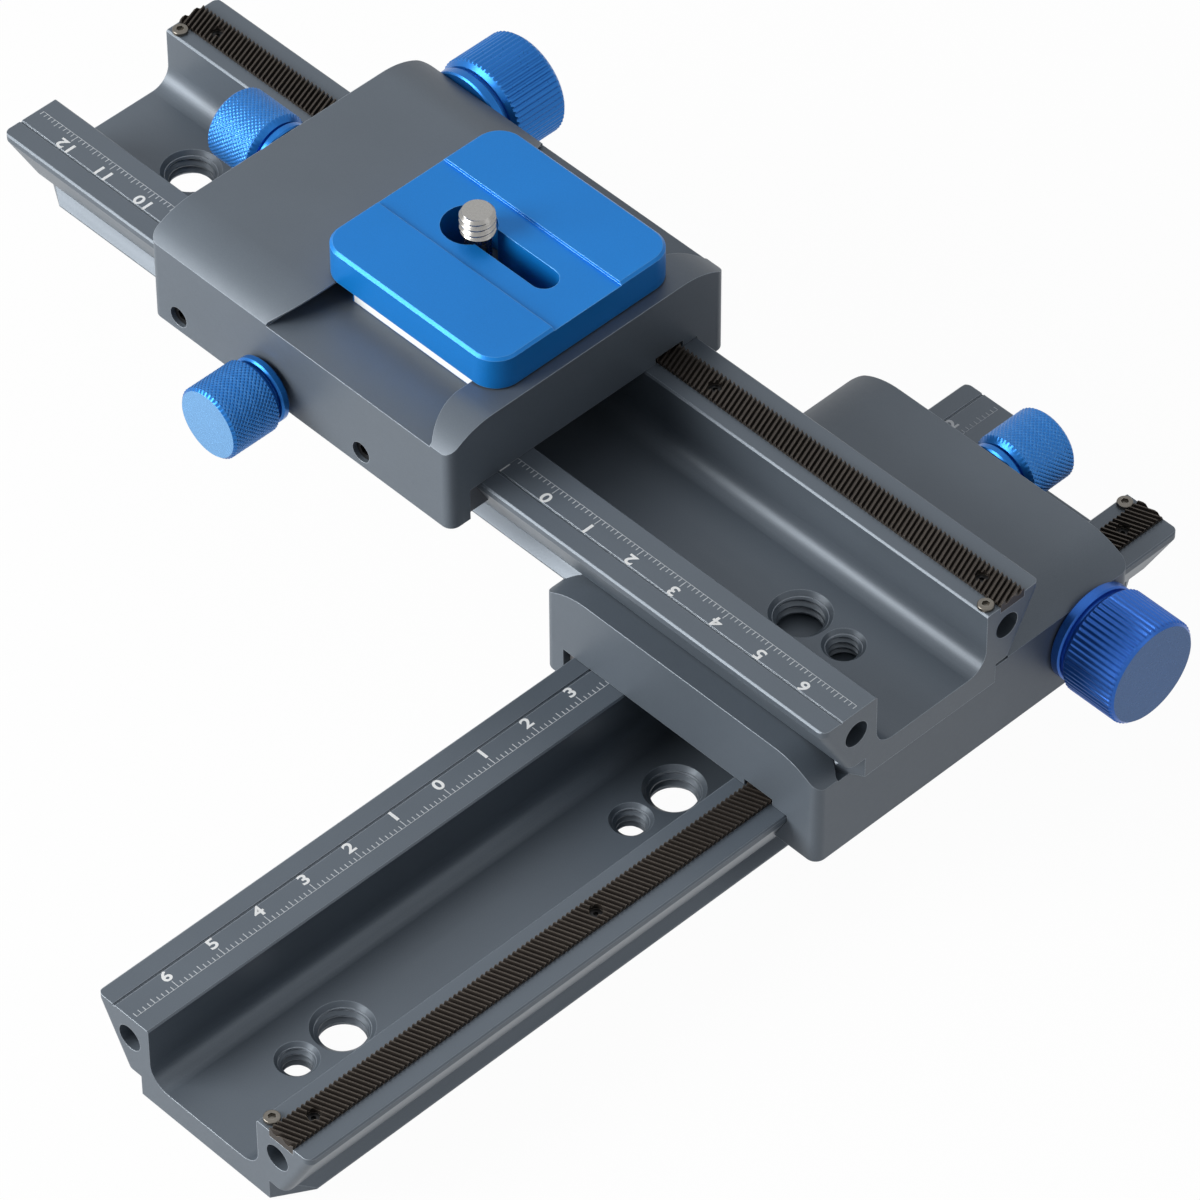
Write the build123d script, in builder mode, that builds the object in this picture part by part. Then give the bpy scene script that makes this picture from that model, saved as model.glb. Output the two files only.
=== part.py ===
# Crossed macro focusing rail: two equal rail units, one clamped across the other.
# Millimetres. +Z up. The origin is the 3/8 inch tripod thread in the underside of the
# lower rail; the lower rail lies along Y and the upper rail along X.
from build123d import *
from math import acos, atan, cos, degrees, pi, radians, sin, sqrt, tan
import os

os.makedirs("parts", exist_ok=True)

# ---------------------------------------------------------------- rail section
# In a unit's own frame x runs along the rail (0 at the scale's zero), y across it
# with the rack on +y, and z = 0 is the top of the two ridges.
rail_length = 200.0
near_end = 70.0
rail_half = 25.1
ridge_inner = 12.8
ridge_foot_half = 19.05
ridge_height = 12.7
lip_height = 1.4
channel_depth = 12.0
channel_radius = 4.0
rail_height = 17.0
foot_half = 19.1
foot_edge = 0.3
foot_neck_half = 15.2
foot_lead_in = 6.6
ridge_corner_radius = 1.5
edge_break = 0.3
scale_line_y = 21.0
scale_line_width = 0.5
scale_line_depth = 0.25

# threaded holes of the rail: three pairs on the centre line, one pair in the middle
pair_pitch = 75.0
pair_spacing = 10.0
large_thread = 9.525
large_rim = 11.0
small_thread = 6.35
small_rim = 7.6
end_hole_y = 17.5
end_hole_z = 5.2
end_hole_diameter = 5.0
end_hole_depth = 12.0

# ---------------------------------------------------------------- rack and pinion
normal_module = 0.3
helix_angle = 20.0
pinion_teeth = 16
pressure_angle = 20.0
tooth_play = 0.05
root_step = 0.02
rack_width = 5.5
rack_y = 18.6
rack_bed = 1.2
rack_fit = 0.02
rack_screw_count = 4
rack_screw_inset = 7.0
rack_screw_head = 2.4
rack_screw_shank = 1.6
rack_screw_length = 2.0
rack_screw_sink = 0.45
rack_screw_socket = 0.9
tap_room = 0.05
stop_inset = 2.0
stop_y = 14.35
stop_head = 2.9
stop_head_height = 0.7
stop_head_round = 0.25
stop_shank = 1.6
stop_length = 5.0
stop_socket_depth = 0.5
small_socket = 1.3

# ---------------------------------------------------------------- carriage
# In the carriage's own frame x = 0 is its near face and z = 0 is the ridge top.
carriage_length = 74.0
carriage_half = 32.0
carriage_top = 14.0
carriage_bottom = 6.6
groove_floor = 10.0
groove_centre = 23.85
jaw_slack = 1.65
foot_lift = 0.02
foot_play = 0.03
slide_play = 0.06
underside_gap = 0.08
crown_run = 10.0
crown_drop = 3.7
corner_radius = 2.0
rack_relief_side = 0.5
rack_relief_top = 0.6
pinion_room = 0.15

gib_thickness = 1.8
gib_gap = 0.6
gib_inset = 0.3
gib_end_inset = 1.0
gib_play = 0.03
gib_screw_diameter = 4.0
gib_screw_z = 3.4
gib_screw_from_near = 21.8
gib_screw_from_far = 6.8
gib_screw_sink = 0.9
hex_socket = 2.0
seat_play = 0.02

# ---------------------------------------------------------------- drive
drive_from_far = 10.0
shaft_diameter = 4.0
shoulder_diameter = 5.0
inner_journal = 3.0
inner_bush_diameter = 5.0
inner_bush_length = 5.5
outer_bush_diameter = 8.0
outer_bush_length = 5.6
run_play = 0.03
end_play = 0.15
pinion_width = 5.5
collar_diameter = 18.6
collar_width = 2.0
drive_knob_diameter = 20.0
drive_knob_bevel = 1.0
drive_knob_hub_diameter = 16.8
drive_knob_hub_length = 0.8
drive_knob_length = 11.9
drive_knob_chamfer = 0.7
flute_count = 60
flute_diameter = 0.7
knob_bore_depth = 8.0
set_screw_diameter = 3.0
set_screw_length = 5.0
set_screw_place = 4.5
set_screw_socket_depth = 1.0

# ---------------------------------------------------------------- lock and clamp knobs
small_knob_diameter = 13.8
small_flange_diameter = 12.6
small_flange_width = 1.7
small_neck_diameter = 10.4
small_neck_length = 0.5
small_grip_length = 10.9
small_knob_bevel = 1.0
small_knob_chamfer = 0.5
small_bore_depth = 6.0
lock_gap = 0.8
lock_from_far = 29.5
lock_screw_diameter = 4.0
lock_pad_diameter = 3.8
lock_pad_proud = 0.2
clamp_gap = 0.3
clamp_screw_diameter = 6.0
clamp_screw_z = 7.9
clamp_pin_diameter = 4.0
clamp_pin_length = 6.0
clamp_travel = 2.0
jaw_half = 10.0
jaw_length = 12.7
jaw_top = 12.6
jaw_height = 8.6
jaw_play = 0.06
pocket_rest = 0.6

# ---------------------------------------------------------------- camera plate
# In the plate's own frame x runs across the groove and z = 0 is the foot's underside.
plate_width = 43.0
plate_depth = 42.2
plate_corner = 5.0
plate_height = 11.0
plate_channel = 15.5
plate_channel_y = 0.2
plate_channel_depth = 0.6
plate_chamfer = 0.5
plate_foot_half_length = 19.2
plate_foot_corner = 4.0
keyhole_x = -6.9
keyhole_diameter = 9.8
slot_end_x = 11.2
slot_width = 5.2
recess_width = 9.2
recess_depth = 3.2
camera_head_diameter = 8.6
camera_head_height = 2.0
camera_head_slot = 1.2
camera_neck_diameter = 4.8
camera_screw_x = -4.8
camera_thread_length = 4.6
camera_washer_thickness = 0.5
camera_play = 0.05

# ---------------------------------------------------------------- where the units stand
lower_far_room = 20.0
upper_station = -10.0
upper_clamp_station = 35.7
plate_station_y = 1.8

# ---------------------------------------------------------------- derived sizes
far_end = near_end - rail_length
lower_station = far_end + lower_far_room + carriage_length
rail_middle = (near_end + far_end) / 2
side_slope = (rail_half - ridge_foot_half) / (ridge_height - lip_height)
side_angle = degrees(atan(side_slope))
transverse_module = normal_module / cos(radians(helix_angle))
rack_pitch = pi * transverse_module
pitch_radius = pinion_teeth * transverse_module / 2
transverse_angle = degrees(atan(tan(radians(pressure_angle)) / cos(radians(helix_angle))))
addendum = normal_module
dedendum = 1.25 * normal_module
rack_root = 0.08
pitch_line = rack_root + dedendum
rack_tip = pitch_line + addendum
drive_axis_z = pitch_line + pitch_radius
drive_station = carriage_length - drive_from_far
lock_station = carriage_length - lock_from_far
gib_screw_stations = (gib_screw_from_near, carriage_length - gib_screw_from_far)
rack_screw_pitch = (rail_length - 2 * rack_screw_inset) / (rack_screw_count - 1)


def whole_pitches(distance):
    """The nearest whole number of rack pitches, so that teeth meet spaces at rest."""
    return rack_pitch * round(distance / rack_pitch)


mesh_point = lower_station - drive_station
lower_near = lower_station
upper_near = lower_station + whole_pitches(upper_station - lower_station)
tripod_x = rail_middle - pair_spacing / 2


def facing_far(x):
    """A plane at this x that looks towards the far end, with z up."""
    return Plane(origin=(x, 0, 0), x_dir=(0, -1, 0), z_dir=(-1, 0, 0))


def ridge_side(z):
    """Half width of the rail at height z: an upright lip, and a slanted side under it."""
    return rail_half + side_slope * min(0, z + lip_height)


# ================================================================ rail
pair_middles = [rail_middle + i * pair_pitch for i in (-1, 0, 1)]
large_holes = [(x - pair_spacing / 2, 0) for x in pair_middles]
small_holes = [(x + pair_spacing / 2, 0) for x in pair_middles]
rack_screw_places = [
    (near_end - rack_screw_inset - i * rack_screw_pitch, rack_y)
    for i in range(rack_screw_count)
]
stop_places = [(near_end - stop_inset, stop_y), (far_end + stop_inset, stop_y)]
head_top = rack_root - rack_screw_sink
rack_screw_tip = head_top - rack_screw_length
foot_flank = foot_half - foot_neck_half
foot_top = rail_height - foot_edge - foot_flank

with BuildPart() as rail:
    with BuildSketch(Plane.YZ.offset(far_end)) as rail_section:
        with BuildLine():
            half = Polyline(
                (0, -channel_depth),
                (ridge_inner, -channel_depth),
                (ridge_inner, 0),
                (rail_half, 0),
                (rail_half, -lip_height),
                (ridge_foot_half, -ridge_height),
                (foot_neck_half, -ridge_height),
                (foot_neck_half, -foot_top),
                (foot_half, -rail_height + foot_edge),
                (foot_half, -rail_height),
                (0, -rail_height),
            )
            mirror(half, about=Plane.YZ)
        make_face()
    extrude(amount=rail_length)
    floor_corners = (
        rail.edges()
        .filter_by(Axis.X)
        .filter_by(lambda e: abs(abs(e.center().Y) - ridge_inner) < 0.01)
        .filter_by(lambda e: abs(e.center().Z + channel_depth) < 0.01)
    )
    fillet(floor_corners, channel_radius)
    top_edges = rail.edges().filter_by(Axis.X).group_by(Axis.Z)[-1]
    chamfer(top_edges, edge_break)
    ridge_ends = (
        rail.edges()
        .filter_by(lambda e: abs(abs(e.center().Y) - ridge_side(e.center().Z)) < 0.01)
        .filter_by(lambda e: -ridge_height < e.center().Z < -edge_break)
        .filter_by(Axis.X, reverse=True)
    )
    fillet(ridge_ends, ridge_corner_radius)
    # lead-in: the foot's corners are cut off in plan at both ends
    with BuildSketch(Plane.XY.offset(-rail_height - 1)):
        for end, way in ((near_end, -1), (far_end, 1)):
            for side in (1, -1):
                with BuildLine():
                    Polyline(
                        (end - way, side * foot_neck_half),
                        (end, side * foot_neck_half),
                        (end + way * foot_lead_in, side * foot_half),
                        (end + way * foot_lead_in, side * (foot_half + 2)),
                        (end - way, side * (foot_half + 2)),
                        close=True,
                    )
                make_face()
    extrude(amount=1 + rail_height - ridge_height, mode=Mode.SUBTRACT)
    # bed of the rack and the fine line beside the scale
    with BuildSketch(Plane.YZ.offset(far_end)):
        with Locations((rack_y, -rack_bed)):
            Rectangle(rack_width + 2 * rack_fit, rack_bed + 1, align=(Align.CENTER, Align.MIN))
        with Locations((-scale_line_y, -scale_line_depth)):
            Rectangle(scale_line_width, 1, align=(Align.CENTER, Align.MIN))
    extrude(amount=rail_length, mode=Mode.SUBTRACT)
    # threaded holes through the floor, with countersunk rims in the channel
    for places, thread, rim in (
        (large_holes, large_thread, large_rim),
        (small_holes, small_thread, small_rim),
    ):
        with Locations(Plane.XY.offset(-channel_depth)):
            with Locations(*places):
                CounterSinkHole(thread / 2, rim / 2, depth=rail_height, counter_sink_angle=90)
    # a tapped hole in the near end of each ridge
    with Locations(Plane.YZ.offset(near_end)):
        with Locations((end_hole_y, -end_hole_z), (-end_hole_y, -end_hole_z)):
            Hole(end_hole_diameter / 2, depth=end_hole_depth)
    # tapped holes under the rack screws and the stop screws
    with Locations(Plane.XY.offset(-rack_bed)):
        with Locations(*rack_screw_places):
            Hole(rack_screw_shank / 2 + rack_fit, depth=tap_room - rack_bed - rack_screw_tip)
    with Locations(Plane.XY):
        with Locations(*stop_places):
            Hole(stop_shank / 2 + rack_fit, depth=stop_length)

# ================================================================ rack
half_space = rack_pitch / 4 + tooth_play / 4
flank_run = tan(radians(transverse_angle))
tooth_count = int(rail_length / rack_pitch) + 12
skew = tan(radians(helix_angle))
tooth_points = []
for k in range(-tooth_count // 2, tooth_count // 2 + 1):
    middle = mesh_point + whole_pitches(rail_middle - mesh_point) + k * rack_pitch
    root_half = half_space - dedendum * flank_run
    tip_half = half_space + addendum * flank_run
    tooth_points += [
        (middle - tip_half, rack_tip),
        (middle - root_half, rack_root),
        (middle + root_half, rack_root),
        (middle + tip_half, rack_tip),
    ]

with BuildPart() as rack:
    with BuildSketch(Plane.XZ.offset(-rack_y - rack_width / 2)):
        with BuildLine():
            Polyline(
                *[(x - skew * rack_width / 2, z) for x, z in tooth_points],
                (tooth_points[-1][0], -rack_bed + rack_fit),
                (tooth_points[0][0] - skew * rack_width, -rack_bed + rack_fit),
                close=True,
            )
        make_face()
    extrude(amount=rack_width / cos(radians(helix_angle)), dir=(skew, -1, 0))
    with Locations((rail_middle, rack_y, 0)):
        Box(rail_length, rack_width, 4 * rack_bed, mode=Mode.INTERSECT)
    head_sink = (rack_screw_head - rack_screw_shank) / 2
    with BuildSketch(Plane.XY.offset(head_top)):
        with Locations(*rack_screw_places):
            Circle(rack_screw_head / 2 + rack_fit)
    extrude(amount=rack_tip + 1, mode=Mode.SUBTRACT)
    with Locations(Plane.XY.offset(head_top)):
        with Locations(*rack_screw_places):
            CounterSinkHole(
                rack_screw_shank / 2 + rack_fit,
                rack_screw_head / 2 + rack_fit,
                depth=2 * rack_bed,
                counter_sink_angle=90,
            )

# ================================================================ rack screws
with BuildPart() as rack_screws:
    with BuildSketch(Plane.XY.offset(head_top)):
        with Locations(*rack_screw_places):
            Circle(rack_screw_head / 2)
    extrude(amount=-head_sink, taper=45)
    with BuildSketch(Plane.XY.offset(head_top)):
        with Locations(*rack_screw_places):
            Circle(rack_screw_shank / 2)
    extrude(amount=-rack_screw_length)
    with BuildSketch(Plane.XY.offset(head_top)):
        with Locations(*rack_screw_places):
            RegularPolygon(rack_screw_socket / 2, 6, major_radius=False)
    extrude(amount=-head_sink, mode=Mode.SUBTRACT)

# ================================================================ stop screws
with BuildPart() as stop_screws:
    with BuildSketch(Plane.XY):
        with Locations(*stop_places):
            Circle(stop_head / 2)
    extrude(amount=stop_head_height)
    fillet(stop_screws.edges().filter_by(GeomType.CIRCLE).group_by(Axis.Z)[-1], stop_head_round)
    with BuildSketch(Plane.XY):
        with Locations(*stop_places):
            Circle(stop_shank / 2)
    extrude(amount=-stop_length + edge_break)
    with BuildSketch(Plane.XY.offset(stop_head_height)):
        with Locations(*stop_places):
            RegularPolygon(small_socket / 2, 6, major_radius=False)
    extrude(amount=-stop_socket_depth, mode=Mode.SUBTRACT)

# ================================================================ carriage
edge_height = groove_floor + foot_lift + foot_edge
lip_reach = carriage_top + 1 - edge_height
front_root = -groove_centre + foot_half + foot_play * sqrt(2)
rear_root = -groove_centre - foot_half - jaw_slack
flank_shift = slide_play / cos(radians(side_angle))
gib_back = rail_half + gib_thickness
wall_inner = gib_back + gib_gap
crown_half = carriage_half - crown_run
relief_half = rack_width / 2 + rack_relief_side
pinion_tip = pitch_radius + addendum
cavity_radius = pinion_tip + pinion_room
cavity_start = rack_y - pinion_width / 2 - end_play
outer_bush_start = carriage_half - outer_bush_length
pocket_back = -(jaw_length + clamp_travel + pocket_rest) + rear_root

with BuildPart() as carriage:
    with BuildSketch(Plane.YZ.offset(-carriage_length)):
        with BuildLine():
            Polyline(
                (-carriage_half, carriage_top - crown_drop),
                (-carriage_half, -carriage_bottom),
                (-wall_inner, -carriage_bottom),
                (-wall_inner, underside_gap),
                (rail_half + flank_shift, underside_gap),
                (rail_half + flank_shift, -lip_height),
                (ridge_side(-carriage_bottom) + flank_shift, -carriage_bottom),
                (carriage_half, -carriage_bottom),
                (carriage_half, carriage_top - crown_drop),
            )
            TangentArc(
                (crown_half, carriage_top),
                (carriage_half, carriage_top - crown_drop),
                tangent=(1, 0),
            )
            Line((crown_half, carriage_top), (-crown_half, carriage_top))
            TangentArc(
                (-crown_half, carriage_top),
                (-carriage_half, carriage_top - crown_drop),
                tangent=(-1, 0),
            )
        make_face()
    extrude(amount=carriage_length)
    side_corners = (
        carriage.edges()
        .filter_by(Axis.Z)
        .filter_by(lambda e: abs(abs(e.center().Y) - carriage_half) < 0.01)
    )
    fillet(side_corners, corner_radius)
    # dovetail groove across the top
    with BuildSketch(Plane.XZ.offset(-carriage_half - 1)):
        with BuildLine():
            Polyline(
                (rear_root, groove_floor),
                (front_root, groove_floor),
                (front_root, edge_height),
                (front_root - lip_reach, carriage_top + 1),
                (rear_root + lip_reach, carriage_top + 1),
                (rear_root, edge_height),
                close=True,
            )
        make_face()
    extrude(amount=2 * carriage_half + 2, mode=Mode.SUBTRACT)
    lip_edges = (
        carriage.edges()
        .filter_by(Axis.Y)
        .filter_by(lambda e: abs(e.center().Z - carriage_top) < 0.01)
        .sort_by(Axis.X)[1:3]
    )
    chamfer(lip_edges, edge_break)
    # room for the rack and the screws that hold it
    with BuildSketch(Plane.YZ.offset(-carriage_length)):
        with Locations((rack_y, underside_gap)):
            Rectangle(2 * relief_half, 2 * (rack_tip + rack_relief_top - underside_gap))
    extrude(amount=carriage_length, mode=Mode.SUBTRACT)
    # bores of the drive: outer bush, pinion room, inner bush
    with Locations(Plane.ZX.offset(carriage_half)):
        with Locations((drive_axis_z, -drive_station)):
            Hole(outer_bush_diameter / 2 + seat_play, depth=outer_bush_length)
            Hole(cavity_radius, depth=carriage_half - cavity_start)
            Hole(
                inner_bush_diameter / 2 + seat_play,
                depth=carriage_half - cavity_start + inner_bush_length,
            )
    # threaded holes of the lock screw and the gib screws
    with Locations(Plane.XZ.offset(carriage_half)):
        with Locations((-lock_station, -gib_screw_z)):
            Hole(lock_screw_diameter / 2 + run_play, depth=carriage_half - wall_inner + 1)
        with Locations(*[(-x, -gib_screw_z) for x in gib_screw_stations]):
            Hole(gib_screw_diameter / 2 + seat_play, depth=carriage_half - wall_inner + 1)
    # clamp: threaded hole in the far face, pocket for the jaw, window for its nose
    with Locations(facing_far(-carriage_length)):
        with Locations((0, clamp_screw_z)):
            Hole(clamp_screw_diameter / 2 + run_play, depth=carriage_length + pocket_back)
    with BuildSketch(Plane.XY.offset(-1)):
        with Locations((rear_root, 0)):
            Rectangle(
                rear_root - pocket_back,
                2 * (jaw_half + jaw_play),
                align=(Align.MAX, Align.CENTER),
            )
    extrude(amount=1 + jaw_top + jaw_play, mode=Mode.SUBTRACT)
    with BuildSketch(Plane.XY.offset(groove_floor)):
        with Locations((rear_root, 0)):
            Rectangle(2 * lip_reach, 2 * (jaw_half + jaw_play))
    extrude(amount=jaw_top + jaw_play - groove_floor, mode=Mode.SUBTRACT)

# ================================================================ gib
gib_top = underside_gap - gib_inset
gib_bottom = gib_inset - carriage_bottom
gib_shift = gib_play / cos(radians(side_angle))
gib_hole = lock_pad_diameter + 2 * run_play
with BuildPart() as gib:
    with BuildSketch(Plane.YZ.offset(gib_end_inset - carriage_length)):
        with BuildLine():
            Polyline(
                (-gib_back, gib_top),
                (-rail_half - gib_shift, gib_top),
                (-rail_half - gib_shift, -lip_height),
                (-ridge_side(gib_bottom) - gib_shift, gib_bottom),
                (-gib_back, gib_bottom),
                close=True,
            )
        make_face()
    extrude(amount=carriage_length - 2 * gib_end_inset)
    with Locations(Plane.XZ.offset(gib_back)):
        with Locations((-lock_station, -gib_screw_z)):
            Hole(gib_hole / 2, depth=rail_half)

# ================================================================ gib screws
gib_screw_length = carriage_half - gib_screw_sink - gib_back
with BuildPart() as gib_screws:
    with BuildSketch(Plane.XZ.offset(gib_back)):
        with Locations(*[(-x, -gib_screw_z) for x in gib_screw_stations]):
            Circle(gib_screw_diameter / 2)
    extrude(amount=gib_screw_length)
    with BuildSketch(Plane.XZ.offset(gib_back + gib_screw_length)):
        with Locations(*[(-x, -gib_screw_z) for x in gib_screw_stations]):
            RegularPolygon(hex_socket / 2, 6, major_radius=False)
    extrude(amount=-hex_socket, mode=Mode.SUBTRACT)

# ================================================================ drive shaft with pinion
# Involute teeth in the plane square to the shaft, twisted along it by the helix.
wave = radians(transverse_angle)
base_radius = pitch_radius * cos(wave)
root_radius = pitch_radius - dedendum
tooth_half = rack_pitch / 4 - tooth_play / 4
start_radius = max(root_radius + root_step, base_radius)
pinion_start = rack_y - pinion_width / 2
section_count = 6


def involute(angle):
    return tan(angle) - angle


def half_angle(radius):
    """Half the angle that a tooth fills at this radius."""
    slant = acos(min(1, base_radius / radius))
    return tooth_half / pitch_radius + involute(wave) - involute(slant)


tooth_radii = [start_radius, (start_radius + pinion_tip) / 2, pinion_tip]
flank_points = [(r, half_angle(r)) for r in tooth_radii]
flank_points = [(root_radius, flank_points[0][1])] + flank_points
pinion_points = []
for k in range(pinion_teeth):
    down = 2 * pi * k / pinion_teeth
    outline = [(r, -a) for r, a in flank_points] + [(r, a) for r, a in flank_points[::-1]]
    pinion_points += [(r * sin(down + a), -r * cos(down + a)) for r, a in outline]

inner_end = cavity_start - inner_bush_length
shaft_end = carriage_half + end_play + collar_width + knob_bore_depth
with BuildPart() as drive_shaft:
    for i in range(section_count):
        y = pinion_start + pinion_width * i / (section_count - 1)
        twist = degrees(skew * (y - rack_y) / pitch_radius)
        turned = Plane(
            origin=(-drive_station, y, drive_axis_z),
            x_dir=(cos(radians(twist)), 0, -sin(radians(twist))),
            z_dir=(0, -1, 0),
        )
        with BuildSketch(turned):
            with BuildLine():
                Polyline(*pinion_points, close=True)
            make_face()
    loft(ruled=True)
    axle = Plane(
        origin=(-drive_station, 0, drive_axis_z), x_dir=(1, 0, 0), z_dir=(0, -1, 0)
    )
    pinion_end = pinion_start + pinion_width
    for start, end, diameter in (
        (inner_end + end_play, pinion_start, inner_journal),
        (pinion_end, outer_bush_start - end_play, shoulder_diameter),
        (outer_bush_start - end_play, shaft_end, shaft_diameter),
    ):
        with BuildSketch(axle.offset(-end)):
            Circle(diameter / 2)
        extrude(amount=end - start)

# ================================================================ drive bushes
with BuildPart() as drive_bushes:
    with BuildSketch(axle.offset(-carriage_half)):
        Circle(outer_bush_diameter / 2)
        Circle(shaft_diameter / 2 + run_play, mode=Mode.SUBTRACT)
    extrude(amount=outer_bush_length)
    with BuildSketch(axle.offset(-cavity_start)):
        Circle(inner_bush_diameter / 2)
        Circle(inner_journal / 2 + run_play, mode=Mode.SUBTRACT)
    extrude(amount=inner_bush_length)

# ================================================================ drive collar
collar_start = carriage_half + end_play
knob_start = collar_start + collar_width
with BuildPart() as drive_collar:
    with BuildSketch(axle.offset(-knob_start)):
        Circle(collar_diameter / 2)
        Circle(shaft_diameter / 2 + seat_play, mode=Mode.SUBTRACT)
    extrude(amount=collar_width)
    rims = drive_collar.edges().filter_by(lambda e: e.length > pi * shaft_diameter * 2)
    chamfer(rims, edge_break)

# ================================================================ drive knob
grip_start = knob_start + drive_knob_hub_length
grip_end = grip_start + drive_knob_length
grip_radius = drive_knob_diameter / 2
with BuildPart() as drive_knob:
    with BuildSketch(Plane.XY):
        with BuildLine():
            Polyline(
                (shaft_diameter / 2 + seat_play, knob_start),
                (drive_knob_hub_diameter / 2, knob_start),
                (drive_knob_hub_diameter / 2, grip_start),
                (grip_radius - drive_knob_bevel, grip_start),
                (grip_radius, grip_start + drive_knob_bevel),
                (grip_radius, grip_end - drive_knob_chamfer),
                (grip_radius - drive_knob_chamfer, grip_end),
                (0, grip_end),
                (0, shaft_end + end_play),
                (shaft_diameter / 2 + seat_play, shaft_end + end_play),
                close=True,
            )
        make_face()
    revolve(axis=Axis.Y)
    # fine straight flutes round the grip
    flute_start = grip_start + drive_knob_bevel
    with BuildSketch(Plane.ZX.offset(flute_start)):
        with PolarLocations(grip_radius, flute_count):
            Circle(flute_diameter / 2)
    extrude(amount=grip_end - drive_knob_chamfer - flute_start, mode=Mode.SUBTRACT)
    with Locations(Plane.XY.offset(-grip_radius).rotated((180, 0, 0))):
        with Locations((0, -grip_start - set_screw_place)):
            Hole(set_screw_diameter / 2 + seat_play, depth=grip_radius)

# ================================================================ knob set screw
with BuildPart() as knob_set_screw:
    screw_inner = Plane.XY.offset(-shaft_diameter / 2)
    with BuildSketch(screw_inner):
        with Locations((0, grip_start + set_screw_place)):
            Circle(set_screw_diameter / 2)
    extrude(amount=-set_screw_length)
    with BuildSketch(screw_inner.offset(-set_screw_length)):
        with Locations((0, grip_start + set_screw_place)):
            RegularPolygon(small_socket / 2, 6, major_radius=False)
    extrude(amount=set_screw_socket_depth, mode=Mode.SUBTRACT)


# ================================================================ lock and clamp knobs
def knob_outline(start, bore_diameter):
    """Half section of a small knob along +y: flange, neck, then a round grip."""
    flange_end = start + small_flange_width
    grip = flange_end + small_neck_length
    end = grip + small_grip_length
    bore = bore_diameter / 2 + seat_play
    bevel = small_knob_chamfer
    return [
        (bore, start),
        (small_flange_diameter / 2 - bevel, start),
        (small_flange_diameter / 2, start + bevel),
        (small_flange_diameter / 2, flange_end - bevel),
        (small_flange_diameter / 2 - bevel, flange_end),
        (small_neck_diameter / 2, flange_end),
        (small_neck_diameter / 2, grip),
        (small_knob_diameter / 2 - small_knob_bevel, grip),
        (small_knob_diameter / 2, grip + small_knob_bevel),
        (small_knob_diameter / 2, end - bevel),
        (small_knob_diameter / 2 - bevel, end),
        (0, end),
        (0, start + small_bore_depth),
        (bore, start + small_bore_depth),
    ]


with BuildPart() as lock_knob:
    with BuildSketch(Plane.XY):
        with BuildLine():
            Polyline(*knob_outline(lock_gap, lock_screw_diameter), close=True)
        make_face()
    revolve(axis=Axis.Y)

pad_end = gib_back + lock_pad_proud
with BuildPart() as lock_screw:
    with BuildSketch(Plane.XZ.offset(pad_end)):
        with Locations((-lock_station, -gib_screw_z)):
            Circle(lock_screw_diameter / 2)
    extrude(amount=carriage_half + lock_gap + small_bore_depth - pad_end)

with BuildPart() as lock_pad:
    with BuildSketch(Plane.XZ.offset(pad_end)):
        with Locations((-lock_station, -gib_screw_z)):
            Circle(lock_pad_diameter / 2)
    extrude(amount=ridge_foot_half - pad_end)
    with BuildSketch(Plane.YZ.offset(-carriage_length)):
        with BuildLine():
            Polyline(
                (0, gib_top + 1),
                (-rail_half - gib_shift, gib_top + 1),
                (-rail_half - gib_shift, -lip_height),
                (-ridge_side(gib_bottom - 1) - gib_shift, gib_bottom - 1),
                (0, gib_bottom - 1),
                close=True,
            )
        make_face()
    extrude(amount=carriage_length, mode=Mode.SUBTRACT)

jaw_front = -groove_centre - foot_half - foot_play * sqrt(2)
jaw_back = pocket_back + clamp_travel + pocket_rest
with BuildPart() as clamp_jaw:
    with BuildSketch(Plane.XZ.offset(-jaw_half)):
        with BuildLine():
            Polyline(
                (jaw_back, jaw_top - jaw_height),
                (rear_root - jaw_play, jaw_top - jaw_height),
                (rear_root - jaw_play, groove_floor + jaw_play),
                (jaw_front, groove_floor + jaw_play),
                (jaw_front, edge_height),
                (jaw_front + jaw_top - edge_height, jaw_top),
                (jaw_back, jaw_top),
                close=True,
            )
        make_face()
    extrude(amount=2 * jaw_half)
    with Locations(facing_far(jaw_back)):
        with Locations((0, clamp_screw_z)):
            Hole(clamp_pin_diameter / 2 + run_play, depth=clamp_pin_length + end_play)

with BuildPart() as clamp_knob:
    with BuildSketch(Plane.XY):
        with BuildLine():
            Polyline(*knob_outline(clamp_gap, clamp_screw_diameter), close=True)
        make_face()
    revolve(axis=Axis.Y)

with BuildPart() as clamp_screw:
    with BuildSketch(Plane.YZ.offset(jaw_back - end_play)):
        with Locations((0, clamp_screw_z)):
            Circle(clamp_screw_diameter / 2)
    extrude(amount=-(carriage_length + clamp_gap + small_bore_depth + jaw_back - end_play))
    with BuildSketch(Plane.YZ.offset(jaw_back - end_play)):
        with Locations((0, clamp_screw_z)):
            Circle(clamp_pin_diameter / 2)
    extrude(amount=clamp_pin_length)

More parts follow.
